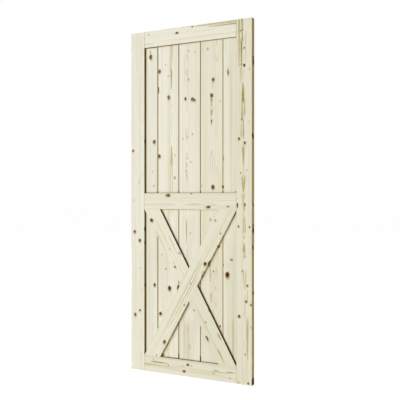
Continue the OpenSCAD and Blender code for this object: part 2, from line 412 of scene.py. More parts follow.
# %% Group for one knot
SWING = -0.8
STAIN_SIDE = (-0.15, 0.0, 0.4)
ANY_DEPTH = 1000.0
FAR_OFF = 9.0
NO_KNOT = {"Nearest": FAR_OFF, "Nearest tone": 0.0, "Stain": FAR_OFF, "Push": 0.0}

knot_inputs = {
    "Branch": NOWHERE, "Place": NOWHERE, "Size": (0.01, ANY_DEPTH, 0.01),
    "Stain size": (0.02, ANY_DEPTH, 0.05), "Tone": 0.5,
}
wiring, given, result = start_group("Knot", knot_inputs | NO_KNOT, NO_KNOT)
offset = wiring.vector("SUBTRACT", given["Branch"], given["Place"])
nearness = wiring.vector("LENGTH", wiring.vector("DIVIDE", offset, given["Size"]))
is_nearer = wiring.math("LESS_THAN", nearness, given["Nearest"])
wiring.feed(result["Nearest"], wiring.math("MINIMUM", nearness, given["Nearest"]))
wiring.feed(result["Nearest tone"], wiring.choose(is_nearer, given["Nearest tone"], given["Tone"]))

stain_offset = wiring.vector("MULTIPLY_ADD", given["Size"], STAIN_SIDE, offset)
stain = wiring.vector("LENGTH", wiring.vector("DIVIDE", stain_offset, given["Stain size"]))
wiring.feed(result["Stain"], wiring.math("MINIMUM", stain, given["Stain"]))
swell = wiring.math("EXPONENT", wiring.math("MULTIPLY", wiring.math("MULTIPLY", stain, stain), -1.0))
sideways = wiring.split(offset)["X"]
push = wiring.math("MULTIPLY", wiring.math("MULTIPLY", sideways, SWING), swell)
wiring.feed(result["Push"], wiring.math("ADD", push, given["Push"]))
one_knot = wiring.tree

# %% [markdown]
# ## Flames
# Where the saw just grazes a growth ring, the ring comes to the face as a long spear, the flame of
# flat-sawn pine. Each starts at a point and widens along the grain, up or down, before it fades.
# A hollow flame shows only the outline of the ring, and each has a faint halo.
# Like the knots, the flames of a board form a chain.

# %% Group for one flame
FLAME_FILL = (1.15, 0.45)
HALO_FILL = (2.6, 0.4)
HALO_SHARE = 0.22
OUTLINE_AT = 0.8
OUTLINE_FILL = (0.45, 0.1)
TIP_RISE = (0.0, 0.06)
TAIL_FADE = (1.0, 0.7)
SHORTEST = 0.0001

flame_inputs = {
    "Branch": NOWHERE, "Tip": NOWHERE, "Size": (0.005, ANY_DEPTH, 0.1), "Strength": 0.5, "Hollow": 0.0,
    "Flame": 0.0,
}
wiring, given, result = start_group("Flame", flame_inputs, {"Flame": 0.0})
offset = wiring.vector("SUBTRACT", given["Branch"], given["Tip"])
from_tip = wiring.split(wiring.vector("DIVIDE", offset, given["Size"]))
half_width = wiring.math("SQRT", wiring.math("MAXIMUM", from_tip["Z"], SHORTEST))
reach = wiring.math("DIVIDE", wiring.math("ABSOLUTE", from_tip["X"]), half_width)
filled = wiring.smooth(reach, *FLAME_FILL)
halo = wiring.math("MULTIPLY", wiring.smooth(reach, *HALO_FILL), HALO_SHARE)
from_outline = wiring.math("ABSOLUTE", wiring.math("SUBTRACT", reach, OUTLINE_AT))
outline = wiring.smooth(from_outline, *OUTLINE_FILL)
mark = wiring.math("MAXIMUM", halo, wiring.choose(given["Hollow"], filled, outline))
tip = wiring.smooth(from_tip["Z"], *TIP_RISE)
ends = wiring.math("MULTIPLY", tip, wiring.smooth(from_tip["Z"], *TAIL_FADE))
mark = wiring.math("MULTIPLY", wiring.math("MULTIPLY", mark, ends), given["Strength"])
wiring.feed(result["Flame"], wiring.math("MAXIMUM", mark, given["Flame"]))
one_flame = wiring.tree

# %% [markdown]
# ## Growth rings and fibres
# A trunk is a stack of cones, one a year, each with pale early wood and a thin line of darker late wood.
# The distance from the trunk's heart, the pith, gives the year, so the rings come out right on the face,
# the edge and the end of a board at once. The pith wanders as the tree grows, which draws the rings out
# into streaks. Bands are the years that grew slowly, and fibres are noise stretched hard along the grain.

# %% Group for the grain of pine
PITH_WANDER_SCALE = (0.0, 0.0, 1.4)
RING_SHAKE = 0.0016
RING_SHAKE_SCALE = (30.0, 30.0, 2.5)
YEAR_SCALE = (0.4, 0.4, 0.4)
BAND_SCALE = (60.0, 60.0, 0.8)
FIBRE_SCALE = (650.0, 650.0, 14.0)
FLECK_SCALE = (330.0, 330.0, 24.0)
LATE_RISE = (0.4, 0.92)
LATE_FALL = (1.0, 0.93)
BAND_RANGE = (0.45, 0.72)
FLECK_RANGE = (0.68, 0.78)
FINE_DETAIL = 3.0
ACROSS_ONLY = (1.0, 1.0, 0.0)

grain_inputs = {
    "Board": NOWHERE, "Push": 0.0, "Pith": (0.0, 0.06, 0.0), "Wander": (0.03, 0.04, 0.0),
    "Ring width": 0.004, "Seed": 0.0,
}
grain_outputs = {"Late wood": 0.0, "Year tone": 0.0, "Band": 0.0, "Fibre": 0.0, "Fleck": 0.0}
wiring, given, result = start_group("Pine grain", grain_inputs, grain_outputs)
wander = wiring.shake(wiring.vector("MULTIPLY", given["Board"], PITH_WANDER_SCALE), given["Seed"])
wander = wiring.vector("MULTIPLY", wander, given["Wander"])
pushed = wiring.vector("ADD", given["Board"], wiring.join(given["Push"]))
from_pith = wiring.vector("SUBTRACT", wiring.vector("ADD", pushed, wander), given["Pith"])
radius = wiring.vector("LENGTH", wiring.vector("MULTIPLY", from_pith, ACROSS_ONLY))
shake_place = wiring.vector("MULTIPLY", given["Board"], RING_SHAKE_SCALE)
shake = wiring.math("MULTIPLY", wiring.noise(shake_place, given["Seed"]).outputs[0], RING_SHAKE)
years = wiring.math("DIVIDE", wiring.math("ADD", radius, shake), given["Ring width"])
season = wiring.math("FRACT", years)
late = wiring.math("MULTIPLY", wiring.smooth(season, *LATE_RISE), wiring.smooth(season, *LATE_FALL))
wiring.feed(result["Late wood"], late)

year_place = wiring.vector("MULTIPLY", wiring.join(years), YEAR_SCALE)
wiring.feed(result["Year tone"], wiring.noise(year_place, given["Seed"]).outputs[0])
band_place = wiring.vector("MULTIPLY", pushed, BAND_SCALE)
band = wiring.noise(band_place, given["Seed"], FINE_DETAIL).outputs[0]
wiring.feed(result["Band"], wiring.smooth(band, *BAND_RANGE))
fibre_place = wiring.vector("MULTIPLY", given["Board"], FIBRE_SCALE)
wiring.feed(result["Fibre"], wiring.noise(fibre_place, given["Seed"], FINE_DETAIL).outputs[0])
fleck_place = wiring.vector("MULTIPLY", given["Board"], FLECK_SCALE)
fleck = wiring.noise(fleck_place, given["Seed"]).outputs[0]
wiring.feed(result["Fleck"], wiring.smooth(fleck, *FLECK_RANGE))
pine_grain = wiring.tree

# %% [markdown]
# ## From grain to finish
# The masks so far say what kind of wood is at a point. This group turns them into colour, gloss and relief:
# pale early wood, honey late wood and olive flames, an amber stain beside each knot, and the knot itself
# with a darker heart and bark line. A faint knot is only a thin olive veil. End grain soaks up more oil,
# so it is golden. Sawn edges get a golden tint too, partly their own colour and partly painted shade,
# and the painted shade of the corners deepens every colour towards brown.
# The relief comes from the fibres and pores alone. A bump is worked out three times over,
# and with a long chain of knots in it a material would outgrow what the renderer can hold.

# %% Start the group for the finish of bare pine
YEAR_TONES = (0.25, 0.75)
BAND_SHARE = 0.7
FLAME_BREAKS = (0.6, 1.3)
FLAME_COLOUR = srgb(166, 146, 72)
STAIN_RANGE = (1.0, 0.3)
STAIN_COLOUR = srgb(188, 150, 72)

finish_inputs = {
    "Late wood": 0.0, "Year tone": 0.5, "Band": 0.0, "Fibre": 0.5, "Fleck": 0.0, "Flame": 0.0,
    "Nearest": FAR_OFF, "Nearest tone": 0.0, "Stain": FAR_OFF, "Edge": 0.0, "End": 0.0, "Shade": 0.0,
    "Early colour": WHITE, "Late colour": WHITE, "Ring contrast": 0.5,
}
finish_outputs = {"Colour": WHITE, "Roughness": 0.6, "Height": 0.0}
wiring, given, result = start_group("Pine finish", finish_inputs, finish_outputs)
ring_share = wiring.math("MULTIPLY", given["Late wood"], wiring.smooth(given["Year tone"], *YEAR_TONES))
ring_share = wiring.math("ADD", ring_share, wiring.math("MULTIPLY", given["Band"], BAND_SHARE))
ring_share = wiring.math("MULTIPLY", ring_share, given["Ring contrast"])
wood = wiring.blend(ring_share, given["Early colour"], given["Late colour"])
flame = wiring.math("MULTIPLY", given["Flame"], wiring.between(given["Fibre"], *FLAME_BREAKS))
wood = wiring.blend(flame, wood, FLAME_COLOUR)
stain_share = wiring.math("MULTIPLY", wiring.smooth(given["Stain"], *STAIN_RANGE), given["Nearest tone"])
wood = wiring.blend(stain_share, wood, STAIN_COLOUR)
print("Bare pine has rings, flames and stains")

# %% Colour the knots
KNOT_RIM = (1.2, 0.8)
BARK_AT = 0.85
BARK_RANGE = (0.25, 0.0)
HEART_RANGE = (0.6, 0.0)
DEEPER = 0.25
VEIL_TONES = (0.0, 0.45)
VEIL_SHARES = (0.25, 1.0)
WARM_TONES = (0.2, 0.5)
KNOT_PALE = srgb(170, 159, 108)
KNOT_WARM = srgb(174, 147, 96)
KNOT_DARK = srgb(66, 44, 11)

tone = given["Nearest tone"]
knot = wiring.smooth(given["Nearest"], *KNOT_RIM)
from_bark = wiring.math("ABSOLUTE", wiring.math("SUBTRACT", given["Nearest"], BARK_AT))
bark = wiring.smooth(from_bark, *BARK_RANGE)
heart = wiring.smooth(given["Nearest"], *HEART_RANGE)
knot_depth = wiring.math("MULTIPLY", wiring.math("MAXIMUM", bark, heart), DEEPER)
knot_depth = wiring.math("ADD", tone, wiring.math("MULTIPLY", knot_depth, tone))
knot_colour = wiring.blend(wiring.smooth(tone, *WARM_TONES), KNOT_PALE, KNOT_WARM)
knot_colour = wiring.blend(knot_depth, knot_colour, KNOT_DARK)
veil = wiring.between(wiring.smooth(tone, *VEIL_TONES), *VEIL_SHARES)
wood = wiring.blend(wiring.math("MULTIPLY", knot, veil), wood, knot_colour)
print("Knots run from pale to warm to dark")

# %% Tint the fibres, edges, ends and corners
FIBRE_SHADES = (0.93, 1.05)
FLECK_SHADE = 0.07
# The golden tint of sawn edges is partly their own colour and partly painted shade.
EDGE_TINT = srgb(250, 230, 182)
END_TINT = srgb(226, 202, 156)
SHADE_TINT = srgb(80, 65, 25)

fibre_shade = wiring.between(given["Fibre"], *FIBRE_SHADES)
fibre_shade = wiring.math("SUBTRACT", fibre_shade, wiring.math("MULTIPLY", given["Fleck"], FLECK_SHADE))
fibre_tint = wiring.add("ShaderNodeCombineColor", [fibre_shade, fibre_shade, fibre_shade]).outputs[0]
wood = wiring.blend(1.0, wood, fibre_tint, how="MULTIPLY")
wood = wiring.blend(given["Edge"], wood, wiring.blend(1.0, wood, EDGE_TINT, how="MULTIPLY"))
wood = wiring.blend(given["End"], wood, wiring.blend(1.0, wood, END_TINT, how="MULTIPLY"))
shade_tint = wiring.add("ShaderNodeGamma", [SHADE_TINT, given["Shade"]]).outputs[0]
wiring.feed(result["Colour"], wiring.blend(1.0, wood, shade_tint, how="MULTIPLY"))
print("Edges, ends and corners have their tints")

# %% Give the pine its gloss and relief
FIBRE_ROUGHNESS = (0.62, 0.76)
LATE_GLOSS = 0.08
KNOT_GLOSS = 0.12
FIBRE_RELIEF = 0.5
FLECK_RELIEF = 0.3

gloss = wiring.math("MULTIPLY", given["Late wood"], LATE_GLOSS)
gloss = wiring.math("ADD", gloss, wiring.math("MULTIPLY", knot, KNOT_GLOSS))
roughness = wiring.between(given["Fibre"], *FIBRE_ROUGHNESS)
wiring.feed(result["Roughness"], wiring.math("SUBTRACT", roughness, gloss))
relief = wiring.math("MULTIPLY", given["Fibre"], FIBRE_RELIEF)
relief = wiring.math("SUBTRACT", relief, wiring.math("MULTIPLY", given["Fleck"], FLECK_RELIEF))
wiring.feed(result["Height"], relief)
pine_finish = wiring.tree
print("Roughness lies between", FIBRE_ROUGHNESS, "before late wood and knots take some off")

# %% [markdown]
# ## A board's own material
# A sawyer could tell these boards apart, so each gets a material of its own from the same groups:
# its lay, its pith, its tone, and its knots and flames at the places where this door has them.
# Places are in millimetres on the door's face, x from the middle and z from the bottom.
# A knot is written as its x and z, its radius, its stretch along the grain and its tone, from 0 for a veil
# to 1 for a dark knot. One on a sawn edge has its x, z and y, its radius and its tone.
# A flame is written as the x and z of its tip, its half width, its length, its strength, where 1 is bold,
# and 1 if it is hollow. Its length is negative where it widens downwards or to the left.

# %% Values of one knot or flame
MM = 0.001
STAIN_WIDTH = 1.7
STAIN_REACH = 1.3
EDGE_KNOT_DEPTH = 0.006
EDGE_STAIN = Vector((1.5, 1.6, 2.2))


def face_place(x, z, box, length_way):
    """A place on a piece's face in millimetres, as the metres that the lay group gives there."""
    middle = (box[0] + box[1]) / 2
    offset = Vector((x * MM, box[0].y, z * MM)) - middle
    lean = Vector(BRANCH_LEAN) * offset.y
    return (offset.dot(DEPTH_WAY.cross(length_way)) + lean.x, 0.0, offset.dot(length_way) + lean.z)


def face_knot(x, z, radius, stretch, tone, box, length_way):
    """The values of a knot on the face."""
    wide = radius * MM
    return {
        "Place": face_place(x, z, box, length_way), "Tone": tone, "Size": (wide, ANY_DEPTH, wide * stretch),
        "Stain size": (wide * STAIN_WIDTH, ANY_DEPTH, wide * (stretch + STAIN_REACH)),
    }


def edge_knot(x, z, y, radius, tone, box):
    """The values of a knot on an upright edge, which reaches only a little way into the face."""
    middle = (box[0] + box[1]) / 2
    size = Vector((EDGE_KNOT_DEPTH, radius * MM, radius * MM))
    return {
        "Place": tuple(Vector((x, y, z)) * MM - middle), "Tone": tone,
        "Size": tuple(size), "Stain size": tuple(size * EDGE_STAIN),
    }


def face_flame(x, z, half_width, length, strength, hollow, box, length_way):
    """The values of a flame."""
    return {
        "Tip": face_place(x, z, box, length_way), "Size": (half_width * MM, ANY_DEPTH, length * MM),
        "Strength": strength, "Hollow": hollow,
    }


print("A knot on an edge goes", EDGE_KNOT_DEPTH, "m deep")


# %% Chains of knots and flames
def add_knots(wiring, branch, knots):
    """Chains the knots of a board and returns what the last one passes on."""
    chain = NO_KNOT
    for knot in knots:
        outputs = wiring.place_group(one_knot, {"Branch": branch} | knot | chain)
        chain = {name: outputs[name] for name in NO_KNOT}
    return chain


def add_flames(wiring, branch, flames):
    """Chains the flames of a board and returns the mask of all of them."""
    mask = 0.0
    for flame in flames:
        mask = wiring.place_group(one_flame, {"Branch": branch, "Flame": mask} | flame)["Flame"]
    return mask


print("A chain of knots starts from", NO_KNOT)

# %% Material of one board
UP = Vector((0, 0, 1))
LEVEL = Vector((1, 0, 0))
PITH_WANDER = (0.03, 0.05, 0.0)
RELIEF_M = 0.0004
RELIEF_STRENGTH = 0.5
WOOD_SPECULAR = 0.05
HONEY_LATE = srgb(208, 197, 155)
GRAIN_MASKS = ("Late wood", "Year tone", "Band", "Fibre", "Fleck")


def new_material(name):
    """A material with its wiring and its Principled shader."""
    material = bpy.data.materials.new(name)
    material.use_nodes = True
    return material, Wiring(material.node_tree), material.node_tree.nodes["Principled BSDF"]


def give_material(nodes, material):
    for node in nodes:
        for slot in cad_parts[node].material_slots:
            slot.material = material


def dress_board(node, length_way=UP, *, seed, pith, early, late=HONEY_LATE, ring_mm=4.0, contrast=0.5,
                knots=(), edge_knots=(), flames=(), corners=recess_edge, shade=0.5, gold=1.0):
    """Gives one piece of the door its own board of wood.

    The shade says how deep the painted shade of its corners is, and the gold how far its sawn edges get the
    golden tint, which is partly painted shade.
    """
    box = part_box(node)
    middle = (box[0] + box[1]) / 2
    all_knots = [face_knot(*knot, box, length_way) for knot in knots]
    all_knots += [edge_knot(*knot, box) for knot in edge_knots]
    all_flames = [face_flame(*flame, box, length_way) for flame in flames]

    material, wiring, shader = new_material(node + "_wood")
    lay_values = {"Middle": tuple(middle), "Length way": tuple(length_way), "Seed": seed}
    lay = wiring.place_group(board_lay, lay_values)
    chain = add_knots(wiring, lay["Branch"], all_knots)
    corner_shade = wiring.place_group(corners, {})["Shade"]
    grain_values = {
        "Board": lay["Board"], "Push": chain["Push"], "Pith": (*pith, 0.0), "Wander": PITH_WANDER,
        "Ring width": ring_mm * MM, "Seed": seed,
    }
    grain = wiring.place_group(pine_grain, grain_values)
    finish_values = {mask: grain[mask] for mask in GRAIN_MASKS}
    finish_values |= {name: chain[name] for name in ("Nearest", "Nearest tone", "Stain")}
    finish_values |= {
        "Flame": add_flames(wiring, lay["Branch"], all_flames), "Early colour": early, "Late colour": late,
        "Ring contrast": contrast, "Edge": wiring.math("MULTIPLY", lay["Edge"], gold), "End": lay["End"],
        "Shade": wiring.math("MULTIPLY", corner_shade, shade),
    }
    finish = wiring.place_group(pine_finish, finish_values)
    wiring.feed(shader.inputs["Base Color"], finish["Colour"])
    wiring.feed(shader.inputs["Roughness"], finish["Roughness"])
    bump_values = {"Strength": RELIEF_STRENGTH, "Distance": RELIEF_M, "Height": finish["Height"]}
    wiring.feed(shader.inputs["Normal"], wiring.add("ShaderNodeBump", bump_values).outputs[0])
    shader.inputs["Specular IOR Level"].default_value = WOOD_SPECULAR
    give_material([node], material)
    print(node, "has", len(all_knots), "knots and", len(flames), "flames")


# %% [markdown]
# ## The stiles
# The two stiles are the longest boards, so they show the most of a tree. The left one is pale and quiet.
# The right one was sawn close to the heart: olive flames run its whole height between small knots.

# %% Dress the left stile
left_stile_knots = [
    (-404, 1390, 7, 1.2, 0.6), (-392, 876, 9, 1.1, 0.65), (-354, 821, 9, 1.1, 0.75),
    (-352, 378, 7, 1.1, 0.55), (-388, 349, 9, 1.1, 0.6), (-400, 1076, 5, 1.2, 0.12),
    (-358, 1195, 5, 4.0, 0.05), (-349, 647, 6, 1.3, 0.14),
]
left_stile_edge_knots = [
    (-319, 1443, -12, 9, 1.0), (-319, 892, -10, 11, 1.0), (-319, 804, -10, 9, 1.0),
    (-319, 539, -10, 8, 1.0),
]
# The broad faint flame darkens the lower part of the stile a little.
left_stile_flames = [(-369, -300, 60, 1100, 0.05, 0)]
dress_board("left_stile", seed=1.3, pith=(0.03, 0.09), contrast=0.35, early=srgb(232, 230, 216),
            knots=left_stile_knots, edge_knots=left_stile_edge_knots, flames=left_stile_flames)

# %% Dress the right stile
right_stile_knots = [
    (347, 2066, 5, 1.2, 0.3), (362, 2071, 4, 1.2, 0.25), (370, 1963, 6, 0.9, 0.35),
    (370, 1862, 7, 1.1, 0.9), (352, 1868, 5, 1.0, 0.4), (336, 1436, 7, 1.0, 0.8),
    (374, 1410, 7, 1.0, 0.8), (385, 1251, 6, 0.7, 0.15), (347, 1235, 5, 1.2, 0.3),
    (375, 1050, 6, 1.1, 0.5), (327, 1047, 5, 2.8, 0.8), (334, 923, 5, 1.5, 0.55), (403, 920, 5, 1.5, 0.6),
    (370, 859, 5, 1.2, 0.2), (359, 661, 5, 1.2, 0.3), (390, 580, 6, 1.1, 0.6), (382, 486, 8, 0.8, 0.6),
    (337, 397, 8, 1.1, 0.7), (376, 178, 6, 1.1, 0.25), (395, 12, 5, 1.0, 1.0), (333, 11, 5, 1.2, 0.2),
    (405, 1837, 4, 2.0, 0.2), (403, 1533, 4, 1.2, 0.2), (412, 339, 5, 1.4, 0.15),
    (354, 1549, 5, 1.2, 0.45), (371, 1656, 4, 1.2, 0.2), (413, 469, 6, 1.2, 0.4),
]
# The largest edge knot makes the foot of the outer edge dark, next to the floor.
right_stile_edge_knots = [
    (419, 1880, 4, 12, 1.0), (419, 1903, 4, 15, 0.35), (419, 1450, -4, 13, 1.0), (419, 901, 2, 13, 1.0),
    (419, 927, 2, 13, 0.35), (419, 801, -6, 9, 0.9), (419, 538, 2, 9, 0.8), (419, 22, 0, 22, 0.85),
    (419, 1050, 4, 9, 0.25),
]
right_stile_flames = [
    (337, 1840, 11, 480, 0.7, 0), (356, 2030, 8, 200, 1.0, 0), (358, 2060, 7, -70, 1.0, 0),
    (352, 1852, 9, 190, 1.0, 0), (380, 1865, 4, 220, 0.5, 0), (350, 1755, 6, 130, 0.7, 0),
    (362, 1765, 12, -140, 1.1, 0), (356, 1668, 8, -150, 0.8, 0), (372, 1662, 8, -105, 0.65, 0),
    (365, 1550, 5, -125, 1.0, 0), (352, 1552, 7, -125, 0.6, 0), (364, 1280, 9, 128, 0.85, 0),
    (365, 1119, 13, 112, 0.9, 1), (365, 1117, 6, 85, 0.7, 0), (364, 1059, 10, 65, 0.7, 1),
    (370, 1007, 8, 65, 0.75, 0), (371, 985, 10, -115, 0.75, 1), (369, 828, 10, -65, 0.9, 0),
    (373, 772, 9, -40, 0.6, 0), (373, 550, 11, 135, 0.65, 1), (390, 565, 4, -90, 0.5, 0),
    (374, 535, 4, -170, 0.5, 0), (391, 136, 9, 285, 0.68, 0),
]
dress_board("right_stile", seed=2.7, pith=(0.0, 0.03), early=srgb(231, 228, 210), knots=right_stile_knots,
            edge_knots=right_stile_edge_knots, flames=right_stile_flames)

# %% [markdown]
# ## The rails
# The rails lie level, so their grain runs from side to side. The middle rail is a thinner board.

# %% Dress the top rail
top_rail_knots = [(-81, 2102, 7, 1.4, 0.6), (26, 2126, 4, 1.3, 0.4), (-286, 2114, 6, 1.3, 0.12)]
top_rail_flames = [
    (29, 2126, 7, 540, 1.2, 1), (109, 2114, 4, 420, 0.95, 0), (169, 2110, 4, 330, 0.75, 0),
    (-61, 2131, 3, 300, 0.5, 0), (-240, 2055, 6, -130, 0.35, 0),
]
dress_board("top_rail", LEVEL, seed=3.1, pith=(0.0, 0.05), contrast=0.4, early=srgb(236, 234, 220),
            knots=top_rail_knots, flames=top_rail_flames, shade=0.9)

# %% Dress the middle rail
middle_rail_knots = [
    (-144, 1105, 10, 1.6, 0.62), (136, 1034, 9, 1.4, 0.62), (20, 1116, 4, 1.3, 0.5),
    (265, 1039, 5, 1.5, 0.4),
]
middle_rail_flames = [(-45, 1051, 3, 170, 0.55, 0), (-319, 1050, 3, 260, 0.25, 0)]
dress_board("middle_rail", LEVEL, seed=4.9, pith=(0.02, 0.07), contrast=0.7, early=srgb(230, 227, 211),
            knots=middle_rail_knots, flames=middle_rail_flames, shade=0.3)

# %% Dress the bottom rail
bottom_rail_knots = [
    (-5, 73, 8, 1.0, 0.7), (-31, 30, 8, 1.2, 0.7), (-144, 54, 4, 1.3, 0.5), (171, 42, 5, 1.3, 0.15),
    (278, 26, 5, 1.3, 0.15), (-253, 78, 5, 1.3, 0.15), (-36, 63, 4, 1.3, 0.15), (20, 68, 4, 1.3, 0.15),
]
bottom_rail_flames = [
    (-142, 64, 6, -140, 1.0, 0), (-145, 45, 7, -250, 0.55, 0), (322, 61, 4, -75, 1.0, 0),
    (299, 54, 4, -160, 0.55, 0), (214, 61, 6, -50, 0.6, 0), (-20, 56, 5, -50, 0.3, 0),
]
dress_board("bottom_rail", LEVEL, seed=5.3, pith=(0.01, 0.05), contrast=0.7, early=srgb(229, 227, 212),
            knots=bottom_rail_knots, flames=bottom_rail_flames, shade=0.3)

# %% [markdown]
# ## The planks
# Each plank runs behind the middle rail in one piece, so its streaks line up above and below it.
# The painted shade on each plank is set deeper from right to left, so the joints on the left come out
# darker.

# %% Knots of the planks
plank_knots = {
    "plank_1": [
        (-280, 1976, 11, 1.4, 0.62), (-283, 2007, 5, 1.5, 0.15), (-254, 1442, 11, 1.1, 0.55),
        (-251, 544, 9, 1.2, 0.75), (-266, 1255, 6, 1.3, 0.12), (-258, 1165, 6, 1.3, 0.2),
    ],
    "plank_2": [
        (-215, 1879, 9, 1.4, 0.5), (-224, 1764, 7, 3.0, 0.55), (-149, 1713, 10, 1.3, 0.5),
        (-217, 1350, 10, 1.1, 0.62), (-143, 530, 11, 1.2, 0.85), (-208, 367, 9, 1.1, 0.75),
        (-79, 533, 10, 1.9, 0.85), (-152, 1845, 4, 1.5, 0.2), (-105, 1214, 7, 1.2, 0.25),
        (-169, 649, 4, 1.3, 0.4), (-128, 1660, 5, 1.0, 0.1), (-101, 1351, 5, 1.3, 0.12),
        (-172, 1916, 5, 1.3, 0.1), (-201, 737, 4, 1.3, 0.2),
    ],
    "plank_3": [
        (-30, 1697, 8, 1.2, 0.7), (20, 1690, 11, 1.1, 0.55), (33, 1683, 9, 1.1, 0.4),
        (-10, 1988, 6, 1.2, 0.12), (37, 1974, 5, 1.3, 0.14), (-8, 1813, 6, 1.3, 0.18),
        (-45, 1452, 5, 1.3, 0.14), (-12, 1462, 5, 1.1, 0.14), (20, 1478, 6, 1.3, 0.18),
        (8, 1309, 6, 1.1, 0.14), (-16, 1209, 5, 1.4, 0.08), (4, 877, 5, 1.3, 0.14),
        (0, 182, 5, 3.0, 0.12),
    ],
    "plank_4": [
        (223, 1156, 4, 2.2, 0.7), (161, 1798, 9, 1.2, 0.62), (150, 1704, 10, 1.2, 0.65),
        (151, 1676, 8, 1.6, 0.15), (150, 1549, 4, 2.0, 0.5), (158, 1155, 11, 1.2, 0.7),
        (124, 1985, 7, 1.0, 0.2), (207, 1669, 5, 1.3, 0.12), (86, 1162, 5, 1.5, 0.12),
        (143, 959, 7, 1.3, 0.2), (177, 550, 5, 1.3, 0.14), (163, 650, 4, 1.2, 0.55),
        (207, 324, 6, 1.2, 0.35), (136, 686, 8, 1.3, 0.3), (199, 800, 7, 1.3, 0.5),
    ],
    "plank_5": [
        (260, 1832, 6, 3.0, 0.38), (228, 1324, 5, 3.0, 0.3), (228, 1156, 4, 2.2, 0.7),
        (255, 635, 13, 1.2, 0.95), (281, 725, 9, 0.8, 0.35), (227, 689, 4, 2.0, 0.6),
        (312, 1126, 4, 1.0, 0.6),
    ],
}
print("Knots on the planks:", {node: len(knots) for node, knots in plank_knots.items()})

# %% Flames of the planks
plank_flames = {
    "plank_1": [(-275, 150, 45, 800, 0.08, 0), (-264, 245, 6, 70, 0.25, 0), (-281, 2024, 8, -70, 0.6, 0)],
    "plank_2": [
        (-130, 1752, 11, 480, 0.65, 1), (-130, 1752, 6, 160, 0.85, 0), (-128, 1418, 13, -150, 0.65, 0),
        (-128, 1418, 14, -500, 0.45, 1), (-129, 433, 9, 110, 0.35, 1), (-187, 320, 55, 520, 0.14, 0),
        (-147, 90, 3, 240, 0.35, 0), (-114, 90, 3, 200, 0.3, 0),
    ],
    "plank_3": [
        (0, 40, 70, 360, 0.16, 0), (0, 700, 60, 330, 0.11, 0), (-34, 1735, 3, 260, 0.3, 0),
        (-21, 1835, 5, 50, 0.4, 0), (-22, 1420, 3, 110, 0.35, 0), (-19, 1366, 6, -20, 0.55, 0),
        (-18, 1344, 6, -22, 0.6, 0), (-22, 1312, 6, -40, 0.6, 0), (-25, 1268, 7, -24, 0.65, 0),
        (-20, 1256, 6, -45, 0.5, 0), (-21, 803, 6, 170, 0.8, 0), (-38, 104, 4, 260, 0.5, 0),
        (-7, 104, 3, 260, 0.5, 0), (-64, 80, 8, 330, 0.22, 0),
    ],
    "plank_4": [
        (165, 250, 55, 820, 0.05, 0), (151, 1636, 10, 80, 0.7, 0), (151, 1582, 8, 42, 0.9, 0),
        (150, 1522, 9, 46, 0.9, 0), (150, 1668, 11, -80, 0.4, 1), (150, 1552, 9, 70, 0.4, 1),
        (157, 1740, 7, 55, 0.5, 1), (150, 1335, 5, 48, 0.45, 0), (142, 1220, 3, 150, 0.3, 0),
        (157, 1220, 3, 150, 0.3, 0), (171, 1215, 3, 170, 0.3, 0), (142, 576, 7, 110, 0.6, 0),
        (147, 452, 7, 80, 0.6, 0),
    ],
    "plank_5": [
        (272, 150, 50, 760, 0.12, 0), (281, 1000, 9, 1000, 0.2, 0), (292, 62, 9, 360, 0.45, 0),
        (259, 1795, 9, 80, 0.4, 0),
    ],
}
print("Flames on the planks:", {node: len(flames) for node, flames in plank_flames.items()})

# %% Dress the planks
PLANK_PITH_DEPTH = 0.05
FIRST_PLANK_SEED = 6.5
SEED_STEP = 1.7

plank_piths = {"plank_1": 0.04, "plank_2": 0.025, "plank_3": -0.02, "plank_4": 0.03, "plank_5": -0.05}
plank_shades = {"plank_1": 1.2, "plank_2": 0.8, "plank_3": 0.65, "plank_4": 0.45, "plank_5": 0.4}
plank_earlies = {
    "plank_1": srgb(232, 230, 216), "plank_2": srgb(237, 235, 222), "plank_3": srgb(235, 233, 220),
    "plank_4": srgb(232, 229, 213), "plank_5": srgb(233, 231, 214),
}
for number, (node, knots) in enumerate(plank_knots.items()):
    pith = (plank_piths[node], PLANK_PITH_DEPTH)
    dress_board(node, seed=FIRST_PLANK_SEED + SEED_STEP * number, pith=pith, early=plank_earlies[node],
                knots=knots, flames=plank_flames[node], corners=plank_corner, shade=plank_shades[node])

# %% [markdown]
# ## The braces
# The braces lean, so their boards lean too. The long one is one board, and the other diagonal is two.
# The long one has no painted shade on its edges and little of the golden tint, so these are almost as pale
# as its face.

# %% Dress the long brace
long_brace_knots = [
    (114, 694, 10, 1.1, 0.8), (-171, 196, 10, 1.1, 0.7), (216, 878, 5, 1.2, 0.3), (182, 955, 7, 0.9, 0.3),
    (-31, 436, 4, 1.3, 0.4), (15, 569, 5, 1.4, 0.25), (206, 799, 11, 1.3, 0.45), (150, 700, 14, 1.4, 1.0),
    (98, 617, 9, 1.2, 0.4), (100, 640, 8, 1.6, 0.18), (-230, 108, 6, 1.2, 0.2),
]
long_brace_flames = [
    (-172, 266, 4, 560, 0.5, 0), (-155, 260, 4, 540, 0.5, 0), (-108, 311, 4, 420, 0.4, 0),
    (41, 633, 10, 95, 0.4, 1),
]
dress_board("long_brace", rising, seed=16.1, pith=(0.02, 0.06), early=srgb(231, 228, 211),
            knots=long_brace_knots, flames=long_brace_flames, shade=0.0, gold=0.1)

# %% Dress the upper and the lower brace
upper_brace_knots = [
    (-266, 950, 10, 1.2, 0.8), (-97, 666, 7, 1.1, 0.6), (-135, 775, 6, 1.3, 0.12),
    (-64, 750, 9, 1.2, 0.18), (-107, 691, 4, 1.2, 0.15),
]
upper_brace_flames = [
    (-136, 716, 4, 230, 0.55, 0), (-126, 762, 4, 240, 0.4, 0), (-75, 740, 5, 140, 0.4, 0),
]
dress_board("upper_brace", falling, seed=17.9, pith=(-0.02, 0.06), early=srgb(234, 231, 215),
            knots=upper_brace_knots, flames=upper_brace_flames, shade=1.0)

